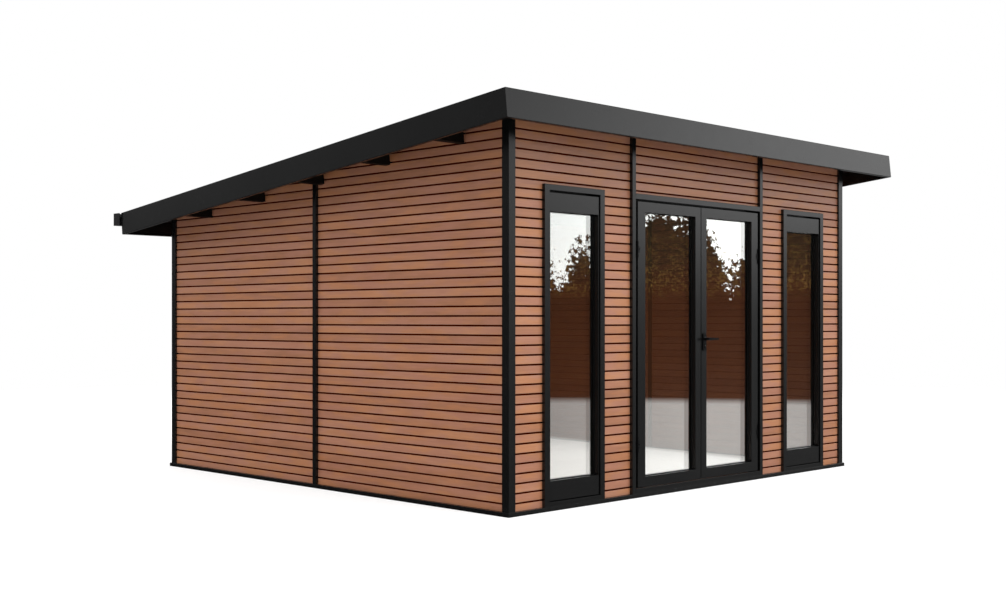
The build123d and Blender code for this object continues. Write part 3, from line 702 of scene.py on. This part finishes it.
def groundFinish():
    # White studio floor, lifted to white for the camera, fading out towards its rim
    f = Finish("studio floor")
    away = f.add("ShaderNodeVectorMath", dict(operation="LENGTH"), [f.place()], output="Value")
    shown = 1.0 - f.ramp(away, ground["fadeFrom"], ground["fadeTo"])
    diffuse = f.add("ShaderNodeBsdfDiffuse", inputs=dict(Color=(ground["color"],) * 3 + (1,)), output="BSDF")
    forCamera = f.add("ShaderNodeLightPath", output="Is Camera Ray") * ground["lift"]
    white = (1, 1, 1, 1)
    glow = f.add("ShaderNodeEmission", inputs=dict(Color=white, Strength=forCamera), output="Emission")
    lit = f.add("ShaderNodeAddShader", inputs=[diffuse, glow], output="Shader")
    clear = f.add("ShaderNodeBsdfTransparent", output="BSDF")
    mixed = f.add("ShaderNodeMixShader", inputs=[shown, clear, lit], output="Shader")
    f.links.new(mixed.socket, f.out.inputs["Surface"])
    return f.mat


def studioDisc():
    # A flat disc: point (i, j) stands at the radius of ring i and the angle of spoke j
    rings, spokes = ground["rings"], ground["spokes"]
    radius, angle = np.meshgrid(np.linspace(ground["hub"], 1, rings) * ground["radius"],
                                np.linspace(0, 2 * np.pi, spokes, endpoint=False), indexing="ij")
    points = np.stack([radius * np.cos(angle), radius * np.sin(angle), 0 * radius], -1).reshape(-1, 3)
    faces = gridFaces(rings, spokes)[:, ::-1].tolist() + [list(range(spokes))]
    mesh = bpy.data.meshes.new("studio_floor")
    mesh.from_pydata(points.tolist(), [], faces)
    mesh.materials.append(groundFinish())
    disc = bpy.data.objects.new("studio_floor", mesh)
    disc.visible_glossy = False
    bpy.context.scene.collection.objects.link(disc)
    return disc


studioDisc()
print("pod: studio floor made")

# A lift is the upward part of a direction: 0 at the horizon, 1 overhead.
light = dict(
    fill=(0.44, 1.75), fillLifts=(0.0, 0.9),               # soft fill at the horizon and overhead
    coat=(0.22, 2.05, 0.6),                                # coated metal mirrors this low, over the
    coatLifts=(0.025, 0.095), coatFade=(0.25, 0.5),        # horizon and overhead
    sides=((0.0, 0.06), (0.125, 0.07), (0.265, 0.15), (0.85, 0.5), (0.90, 1.0), (0.915, 1.0), (0.95, 0.62)),
    sun=1.15, sunAngle=26, sunFrom=(0.40, -1.0, 1.5), sunColor=(0.95, 1.0, 1.0),
    room=43.0, roomSpread=60, roomSize=3.2, roomHeight=2.09,
)
skyline = dict(
    sky=2.3, land=(0.056, 0.021, 0.010), ridge=(0.034, 0.023, 0.014), glint=(0.30, 0.17, 0.05),
    azimuths=(-60, -10), height=0.12,                      # degrees, and the lift of a stop at level 1
    stops=((0.0, 0.3), (0.338, 0.36), (0.352, 0.22), (0.366, 0.50), (0.385, 0.44), (0.42, 0.62),
           (0.44, 0.72), (0.465, 0.66), (0.478, 0.66), (0.498, 0.26), (0.518, 0.40), (0.55, 0.80),
           (1.0, 0.4)),
    waves=(34.0, 3.0, 0.6), specks=(230.0, 5.0, 0.72), glints=(700.0, 2.0, 0.6),   # scale, detail, roughness
    waveLeast=0.7, waveSpan=0.6, speckSpan=0.11, soft=0.002,
    ridgeLifts=(0.022, 0.045),                             # from the land's colour to the ridge's
    glintBegins=0.50, glintFull=0.60, glintStrength=0.7,
    glintTop=(0.08, 0.03), glintFoot=(0.014, 0.024),       # lifts between which the glints fade out
    haze=0.66, hazeLifts=(-0.0605, -0.0655),               # pale far ground
    near=1.28, nearEdge=0.0222, nearSlant=0.156, nearSoft=0.0015,   # near ground, with a slanting edge
)


def paneMirror(f, direction, share):
    # What a pane mirrors. The skyline's lift at an azimuth is its stop's level times the full height,
    # moved by waves and specks. Over it is the sky, under it dark land with glints, then pale ground.
    look = skyline
    split = f.add("ShaderNodeSeparateXYZ", inputs=[direction], output="X")
    east, north, lift = (Sock(f, split.socket.node.outputs[name]) for name in "XYZ")
    waves, specks, glints = (f.noise(direction, *look[name]) for name in ("waves", "specks", "glints"))
    turn = f.ramp(f.sum("ARCTAN2", north, east), *(math.radians(azimuth) for azimuth in look["azimuths"]))
    top = f.curve(turn, look["stops"]) * look["height"] * (look["waveLeast"] + waves * look["waveSpan"])
    edge = top + (specks - 0.5) * look["speckSpan"] - lift
    sky = f.ramp(edge, look["soft"], -look["soft"]) * look["sky"]
    slanted = lift + east * look["nearSlant"]
    nearby = f.ramp(slanted, look["nearEdge"] + look["nearSoft"], look["nearEdge"] - look["nearSoft"])
    pale = f.ramp(lift, *look["hazeLifts"]) * (look["haze"] + nearby * (look["near"] - look["haze"]))
    glinting = f.ramp(glints * 0.5 + specks * 0.5, look["glintBegins"], look["glintFull"])
    glinting = glinting * f.ramp(lift, *look["glintTop"]) * f.ramp(lift, *look["glintFoot"])
    land, ridge, glint = (look[name] + (1,) for name in ("land", "ridge", "glint"))
    dark = f.blend(f.ramp(lift, *look["ridgeLifts"]), land, ridge)
    dark = f.blend(glinting * look["glintStrength"], dark, glint)
    return f.add("ShaderNodeVectorMath", dict(operation="ADD"), [
        f.scaled((1, 1, 1), (sky + pale) * share), dark])


def coatMirror(f, lift, share):
    # What coated metal mirrors: a soft step from low to high at the horizon, easing off overhead
    low, high, overhead = light["coat"]
    level = low + f.ramp(lift, *light["coatLifts"]) * (high - low)
    level = level + f.ramp(lift, *light["coatFade"]) * (overhead - high)
    return f.scaled((1, 1, 1), level * share)


def buildWorld():
    # White for the camera and through glass, a plain fill for the object, for sharp mirrors a bright
    # sky over a dark skyline, and for coats a soft step. The mirrors' share of light goes by the side.
    world = bpy.data.worlds.new("studio")
    bpy.context.scene.world = world
    f = Finish("studio", world)
    camera = f.add("ShaderNodeLightPath", output="Is Camera Ray")
    glossy, sharp, through = (Sock(f, camera.socket.node.outputs[name]) for name in (
        "Is Glossy Ray", "Is Singular Ray", "Is Transmission Ray"))
    direction = f.add("ShaderNodeTexCoord", output="Generated")
    east = f.add("ShaderNodeSeparateXYZ", inputs=[direction], output="X")
    lift = Sock(f, east.socket.node.outputs["Z"])
    share = f.curve(east * 0.5 + 0.5, light["sides"])
    mirrored = f.blend(sharp, coatMirror(f, lift, share), paneMirror(f, direction, share))
    low, high = light["fill"]
    plain = f.scaled((1, 1, 1), low + f.ramp(lift, *light["fillLifts"]) * (high - low))
    white = (1, 1, 1, 1)
    shade = f.blend(through, f.blend(glossy, f.blend(camera, plain, white), mirrored), white)
    backdrop = f.add("ShaderNodeBackground", inputs=dict(Color=shade, Strength=1.0), output="Background")
    f.links.new(backdrop.socket, f.out.inputs["Surface"])


def addLamp(name, kind, **settings):
    # a lamp that neither the camera nor a reflection shows
    lamp = bpy.data.objects.new(name, bpy.data.lights.new(name, kind))
    bpy.context.scene.collection.objects.link(lamp)
    for key, value in settings.items():
        setattr(lamp.data, key, value)
    lamp.visible_glossy = lamp.visible_camera = False
    return lamp


buildWorld()
sun = addLamp("soft_key", "SUN", energy=light["sun"], color=light["sunColor"],
              angle=math.radians(light["sunAngle"]))
aim = np.array(light["sunFrom"]) / np.linalg.norm(light["sunFrom"])
sun.rotation_euler = (math.acos(aim[2]), 0, math.atan2(aim[1], aim[0]) + math.pi / 2)
room = addLamp("room_light", "AREA", energy=light["room"], shape="SQUARE", size=light["roomSize"],
               spread=math.radians(light["roomSpread"]))
room.location = (0, 0, light["roomHeight"])
print("pod: world and lamps set")

# the focal length and the rise of the picture are in pixels of a frame that is this wide
view = dict(place=(-7.7486, -7.6940, 1.2475), turn=-45.02, focal=1288.7, raised=16.6, width=1006,
            sensor=36, farthest=200)
camera = bpy.data.objects.new("camera", bpy.data.cameras.new("camera"))
bpy.context.scene.collection.objects.link(camera)
camera.location = view["place"]
camera.rotation_euler = (math.radians(90), 0, math.radians(view["turn"]))
camera.data.sensor_width = view["sensor"]
camera.data.lens = view["sensor"] * view["focal"] / view["width"]
camera.data.shift_y = view["raised"] / view["width"]
camera.data.clip_end = view["farthest"]
bpy.context.scene.camera = camera
bpy.context.scene.view_settings.view_transform = "Standard"
